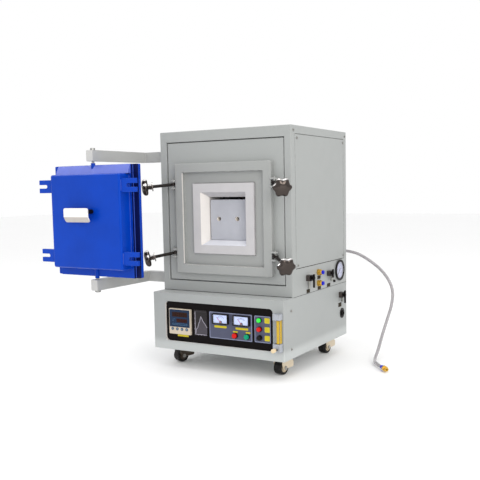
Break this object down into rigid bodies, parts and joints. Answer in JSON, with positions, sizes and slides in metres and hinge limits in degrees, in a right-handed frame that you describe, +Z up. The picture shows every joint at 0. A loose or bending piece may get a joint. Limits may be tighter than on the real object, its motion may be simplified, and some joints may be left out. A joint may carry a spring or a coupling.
{
  "type": "muffle furnace",
  "caption": "Controlled-atmosphere muffle furnace on casters: swing-arm blue door with clamp bolts, fibre-lined chamber with plug, control panel, gas fittings, vacuum hose.",
  "frame": {"origin": "on the floor, under the centre of the base cabinet's footprint", "axes": "+Z up; the front with the door and the control panel faces -Y; +X to the right seen from the front"},
  "size_m": [1.1979, 0.8365, 0.886],
  "materials": {
    "casing_paint": "satin",
    "door_blue": "gloss",
    "fibre": "matte",
    "plug_fibre": "matte",
    "vessel_steel": "satin",
    "element": "matte",
    "sheath": "matte",
    "panel_black": "satin",
    "plate_blue_grey": "satin",
    "controller_case": "satin",
    "meter_case": "gloss",
    "clear_window": "gloss",
    "needle_red": "satin",
    "needle_black": "satin",
    "lamp_green": "gloss",
    "button_red": "gloss",
    "button_green": "gloss",
    "button_black": "gloss",
    "chrome_part": "gloss",
    "float_steel": "satin",
    "knob_cream": "gloss",
    "lever_black": "satin",
    "brass_part": "satin",
    "zinc": "satin",
    "hose_clear": "gloss",
    "arm_paint": "satin",
    "lug_paint": "gloss",
    "seal_rubber": "matte",
    "handle_paint": "satin",
    "bolt_steel": "satin",
    "fork_cream": "gloss",
    "wheel_black": "matte",
    "transformer": "matte"
  },
  "bodies": {
    "cabinet": {"upper_casing": "casing_paint", "casing_panels": "casing_paint", "front_panel": "casing_paint", "base_casing": "casing_paint", "door_frame": "casing_paint", "mouth_block": "fibre", "vessel": "vessel_steel", "insulation": "fibre", "heating_elements": "element", "thermocouple": "sheath", "control_panel": "panel_black", "instrument_plates": "plate_blue_grey", "controller": "controller_case", "instrument_cases": "meter_case", "instrument_windows": "clear_window", "indicator_lamp": "lamp_green", "flowmeter_body": "chrome_part", "valve_bodies": "chrome_part", "gas_fittings": "brass_part", "hinge_brackets": "arm_paint", "vacuum_hose": "hose_clear", "hose_fitting": "brass_part", "casing_screws": "zinc", "cable_gland": "lever_black", "power_unit": "transformer"},
    "door_arms": {"door_arms": "arm_paint"},
    "door": {"door_shell": "door_blue", "door_lugs": "lug_paint", "door_insulation": "fibre", "door_seal": "seal_rubber", "door_handle": "handle_paint"},
    "plug": {"furnace_plug": "plug_fibre"},
    "swing_bolt_upper_right": {"swing_bolt_upper_right": "bolt_steel"},
    "star_knob_upper_right": {"star_knob_upper_right": "chrome_part"},
    "swing_bolt_lower_right": {"swing_bolt_lower_right": "bolt_steel"},
    "star_knob_lower_right": {"star_knob_lower_right": "chrome_part"},
    "swing_bolt_upper_left": {"swing_bolt_upper_left": "bolt_steel"},
    "star_knob_upper_left": {"star_knob_upper_left": "chrome_part"},
    "swing_bolt_lower_left": {"swing_bolt_lower_left": "bolt_steel"},
    "star_knob_lower_left": {"star_knob_lower_left": "chrome_part"},
    "stop_button": {"stop_button": "button_red"},
    "start_button": {"start_button": "button_green"},
    "power_on_button": {"power_on_button": "button_red"},
    "power_off_button": {"power_off_button": "button_black"},
    "argon_valve_lever": {"argon_valve_lever": "lever_black"},
    "exhaust_valve_lever": {"exhaust_valve_lever": "lever_black"},
    "drain_valve_lever": {"drain_valve_lever": "lever_black"},
    "flowmeter_float": {"flowmeter_float": "float_steel"},
    "flowmeter_knob": {"flowmeter_knob": "knob_cream"},
    "ammeter_needle": {"ammeter_needle": "needle_red"},
    "voltmeter_needle": {"voltmeter_needle": "needle_red"},
    "gauge_needle": {"gauge_needle": "needle_black"},
    "caster_fork_front_left": {"caster_fork_front_left": "fork_cream"},
    "caster_wheel_front_left": {"caster_wheel_front_left": "wheel_black"},
    "caster_fork_front_right": {"caster_fork_front_right": "fork_cream"},
    "caster_wheel_front_right": {"caster_wheel_front_right": "wheel_black"},
    "caster_fork_rear_left": {"caster_fork_rear_left": "fork_cream"},
    "caster_wheel_rear_left": {"caster_wheel_rear_left": "wheel_black"},
    "caster_fork_rear_right": {"caster_fork_rear_right": "fork_cream"},
    "caster_wheel_rear_right": {"caster_wheel_rear_right": "wheel_black"}
  },
  "joints": [
    {"name": "arm_swing", "type": "hinge", "parent": "cabinet", "child": "door_arms", "pos_m": [-0.298, -0.1345, 0.561], "axis": [0, 0, 1], "range_deg": [-15, 90]},
    {"name": "door_pivot", "type": "hinge", "parent": "door_arms", "child": "door", "pos_m": [-0.414, -0.4355, 0.561], "axis": [0, 0, 1], "range_deg": [-90, 15]},
    {"name": "plug_slide", "type": "slide", "parent": "cabinet", "child": "plug", "axis": [0, 1, 0], "range_m": [-0.12, 0]},
    {"name": "swing_bolt_upper_right_pivot", "type": "hinge", "parent": "cabinet", "child": "swing_bolt_upper_right", "pos_m": [0.22, -0.2215, 0.689], "axis": [-0.2383, 0, -0.9712], "range_deg": [0, 43.84]},
    {"name": "star_knob_upper_right_spin", "type": "hinge", "parent": "swing_bolt_upper_right", "child": "star_knob_upper_right", "pos_m": [0.2913, -0.29796, 0.67151], "axis": [0.6726, -0.7213, -0.165], "continuous": true},
    {"name": "swing_bolt_lower_right_pivot", "type": "hinge", "parent": "cabinet", "child": "swing_bolt_lower_right", "pos_m": [0.22, -0.2215, 0.431], "axis": [-0.3307, 0, -0.9437], "range_deg": [0, 51.03]},
    {"name": "star_knob_lower_right_spin", "type": "hinge", "parent": "swing_bolt_lower_right", "child": "star_knob_lower_right", "pos_m": [0.29778, -0.28816, 0.40374], "axis": [0.7337, -0.6289, -0.2571], "continuous": true},
    {"name": "swing_bolt_upper_left_pivot", "type": "hinge", "parent": "cabinet", "child": "swing_bolt_upper_left", "pos_m": [-0.214, -0.2215, 0.689], "axis": [-0.1133, 0, 0.9936], "range_deg": [0, 51.68]},
    {"name": "star_knob_upper_left_spin", "type": "hinge", "parent": "swing_bolt_upper_left", "child": "star_knob_upper_left", "pos_m": [-0.29663, -0.28723, 0.67958], "axis": [-0.7795, -0.6201, -0.0889], "continuous": true},
    {"name": "swing_bolt_lower_left_pivot", "type": "hinge", "parent": "cabinet", "child": "swing_bolt_lower_left", "pos_m": [-0.214, -0.2215, 0.431], "axis": [-0.2268, 0, 0.9739], "range_deg": [0, 51.34]},
    {"name": "star_knob_lower_left_spin", "type": "hinge", "parent": "swing_bolt_lower_left", "child": "star_knob_lower_left", "pos_m": [-0.29462, -0.28772, 0.41223], "axis": [-0.7605, -0.6247, -0.1771], "continuous": true},
    {"name": "stop_button_press", "type": "slide", "parent": "cabinet", "child": "stop_button", "axis": [0, 1, 0], "range_m": [0, 0.003], "stiffness_N_per_m": 700},
    {"name": "start_button_press", "type": "slide", "parent": "cabinet", "child": "start_button", "axis": [0, 1, 0], "range_m": [0, 0.003], "stiffness_N_per_m": 700},
    {"name": "power_on_button_press", "type": "slide", "parent": "cabinet", "child": "power_on_button", "axis": [0, 1, 0], "range_m": [0, 0.003], "stiffness_N_per_m": 500},
    {"name": "power_off_button_press", "type": "slide", "parent": "cabinet", "child": "power_off_button", "axis": [0, 1, 0], "range_m": [0, 0.003], "stiffness_N_per_m": 500},
    {"name": "argon_valve_turn", "type": "hinge", "parent": "cabinet", "child": "argon_valve_lever", "pos_m": [0.3025, -0.081, 0.342], "axis": [1, 0, 0], "range_deg": [0, 90]},
    {"name": "exhaust_valve_turn", "type": "hinge", "parent": "cabinet", "child": "exhaust_valve_lever", "pos_m": [0.3025, 0.09, 0.341], "axis": [1, 0, 0], "range_deg": [0, 90]},
    {"name": "drain_valve_turn", "type": "hinge", "parent": "cabinet", "child": "drain_valve_lever", "pos_m": [0.3025, 0.208, 0.24], "axis": [1, 0, 0], "range_deg": [0, 90]},
    {"name": "float_rise", "type": "slide", "parent": "cabinet", "child": "flowmeter_float", "axis": [0, 0, 1], "range_m": [0, 0.071]},
    {"name": "flowmeter_knob_turn", "type": "hinge", "parent": "cabinet", "child": "flowmeter_knob", "pos_m": [0.2609, -0.32, 0.118], "axis": [0, -1, 0], "range_deg": [0, 720]},
    {"name": "ammeter_needle_swing", "type": "hinge", "parent": "cabinet", "child": "ammeter_needle", "pos_m": [0.0212, -0.279, 0.1905], "axis": [0, 1, 0], "range_deg": [0, 84], "stiffness_Nm_per_rad": 0.0002},
    {"name": "voltmeter_needle_swing", "type": "hinge", "parent": "cabinet", "child": "voltmeter_needle", "pos_m": [0.1088, -0.279, 0.1903], "axis": [0, 1, 0], "range_deg": [0, 84], "stiffness_Nm_per_rad": 0.0002},
    {"name": "gauge_needle_swing", "type": "hinge", "parent": "cabinet", "child": "gauge_needle", "pos_m": [0.283, 0.201, 0.34], "axis": [-1, 0, 0], "range_deg": [0, 270], "stiffness_Nm_per_rad": 0.0002},
    {"name": "caster_front_left_swivel", "type": "hinge", "parent": "cabinet", "child": "caster_fork_front_left", "pos_m": [-0.219, -0.16, 0.058], "axis": [0, 0, 1], "continuous": true},
    {"name": "caster_front_left_spin", "type": "hinge", "parent": "caster_fork_front_left", "child": "caster_wheel_front_left", "pos_m": [-0.22724, -0.1804, 0.025], "axis": [0.9272, -0.3746, 0], "continuous": true},
    {"name": "caster_front_right_swivel", "type": "hinge", "parent": "cabinet", "child": "caster_fork_front_right", "pos_m": [0.219, -0.16, 0.058], "axis": [0, 0, 1], "continuous": true},
    {"name": "caster_front_right_spin", "type": "hinge", "parent": "caster_fork_front_right", "child": "caster_wheel_front_right", "pos_m": [0.21518, -0.18167, 0.025], "axis": [0.9848, -0.1736, 0], "continuous": true},
    {"name": "caster_rear_left_swivel", "type": "hinge", "parent": "cabinet", "child": "caster_fork_rear_left", "pos_m": [-0.219, 0.219, 0.058], "axis": [0, 0, 1], "continuous": true},
    {"name": "caster_rear_left_spin", "type": "hinge", "parent": "caster_fork_rear_left", "child": "caster_wheel_rear_left", "pos_m": [-0.22206, 0.19721, 0.025], "axis": [0.9903, -0.1392, 0], "continuous": true},
    {"name": "caster_rear_right_swivel", "type": "hinge", "parent": "cabinet", "child": "caster_fork_rear_right", "pos_m": [0.219, 0.219, 0.058], "axis": [0, 0, 1], "continuous": true},
    {"name": "caster_rear_right_spin", "type": "hinge", "parent": "caster_fork_rear_right", "child": "caster_wheel_rear_right", "pos_m": [0.21594, 0.19721, 0.025], "axis": [0.9903, -0.1392, 0], "continuous": true}
  ],
  "couplings": [
    {"joint": "door_pivot", "follows": "arm_swing", "ratio": -1}
  ]
}
